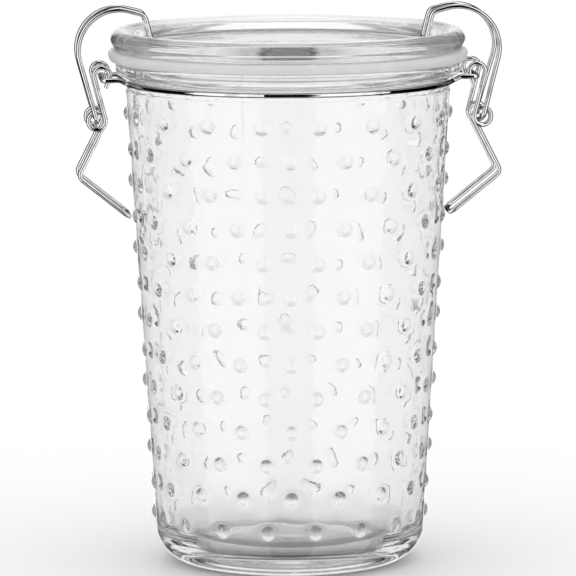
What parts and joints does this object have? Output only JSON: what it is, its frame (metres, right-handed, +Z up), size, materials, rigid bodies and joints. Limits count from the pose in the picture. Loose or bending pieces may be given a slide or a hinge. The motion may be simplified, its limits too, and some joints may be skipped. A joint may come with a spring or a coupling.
{
  "type": "bail clamp jar",
  "caption": "Clear glass storage jar with hobnailed tapering wall, loose dished glass lid, ring gasket and two sprung wire clamps hung on a wire neck band.",
  "frame": {"origin": "on the jar's axis, in the plane that the jar stands on", "axes": "+Z up along the jar's axis, the two clamps on -X (left) and +X (right)"},
  "size_m": [0.1576, 0.1332, 0.2076],
  "materials": {
    "jar_glass": "clear colourless pressed glass, polished",
    "lid_glass": "clear colourless pressed glass, polished",
    "gasket_rubber": "translucent white silicone, satin",
    "band_wire": "bright plated spring wire",
    "lever_wire": "bright plated spring wire",
    "hook_wire": "bright plated spring wire"
  },
  "bodies": {
    "jar": {"jar_body": "jar_glass", "neck_band": "band_wire"},
    "lid": {"lid": "lid_glass", "gasket": "gasket_rubber"},
    "left_lever": {"left_lever": "lever_wire"},
    "left_hook": {"left_hook": "hook_wire"},
    "right_lever": {"right_lever": "lever_wire"},
    "right_hook": {"right_hook": "hook_wire"}
  },
  "joints": [
    {"name": "lid_lift", "type": "slide", "parent": "jar", "child": "lid", "axis": [0, 0, 1], "range_m": [0, 0.07]},
    {"name": "left_lever_swing", "type": "hinge", "parent": "jar", "child": "left_lever", "pos_m": [-0.0693, 0, 0.1812], "axis": [0, 1, 0], "range_deg": [0, 110], "deforming": ["left_hook"]},
    {"name": "left_hook_swing", "type": "hinge", "parent": "left_lever", "child": "left_hook", "pos_m": [-0.0714, 0, 0.1661], "axis": [0, 1, 0], "range_deg": [-132, 0]},
    {"name": "right_lever_swing", "type": "hinge", "parent": "jar", "child": "right_lever", "pos_m": [0.0693, 0, 0.1812], "axis": [0, -1, 0], "range_deg": [0, 110], "deforming": ["right_hook"]},
    {"name": "right_hook_swing", "type": "hinge", "parent": "right_lever", "child": "right_hook", "pos_m": [0.0714, 0, 0.1661], "axis": [0, -1, 0], "range_deg": [-132, 0]}
  ],
  "couplings": [
    {"joint": "left_hook_swing", "follows": "left_lever_swing", "ratio": -1.2},
    {"joint": "right_hook_swing", "follows": "right_lever_swing", "ratio": -1.2}
  ]
}
